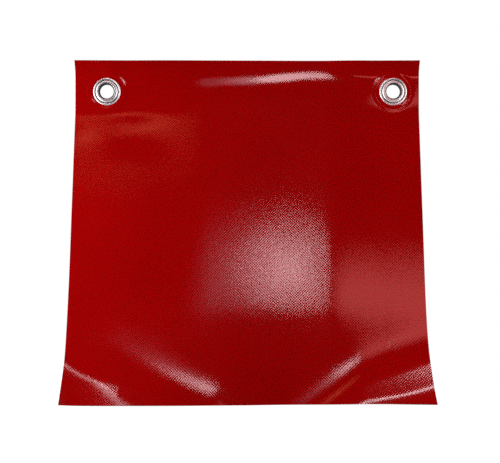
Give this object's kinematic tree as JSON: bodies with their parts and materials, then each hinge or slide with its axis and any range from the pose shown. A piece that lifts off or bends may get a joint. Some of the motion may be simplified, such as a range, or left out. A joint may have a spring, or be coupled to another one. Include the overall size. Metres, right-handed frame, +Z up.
{
  "type": "fire blanket",
  "caption": "Square of coated woven cloth with a clinched metal eyelet in each upper corner, hanging with its lower edge swept forward.",
  "frame": {"origin": "midway between the two eyelet centres, halfway through the cloth", "axes": "+X to the right as the front is viewed, +Y away from the viewer along the eyelets' bores, +Z up"},
  "size_m": [0.3, 0.0725, 0.2854],
  "materials": {
    "coating": "glossy red silicone coating, the weave showing through",
    "core_cloth": "plain woven glass cloth, stained by the coating, seen only at the cut edges",
    "eyelet_metal": "bright nickel plate on pressed steel",
    "washer_metal": "satin nickel plate on pressed steel"
  },
  "bodies": {
    "root": {"front_coating": "coating", "woven_core": "core_cloth", "back_coating": "coating", "left_eyelet_barrel": "eyelet_metal", "left_eyelet_washer": "washer_metal", "right_eyelet_barrel": "eyelet_metal", "right_eyelet_washer": "washer_metal"}
  },
  "joints": []
}
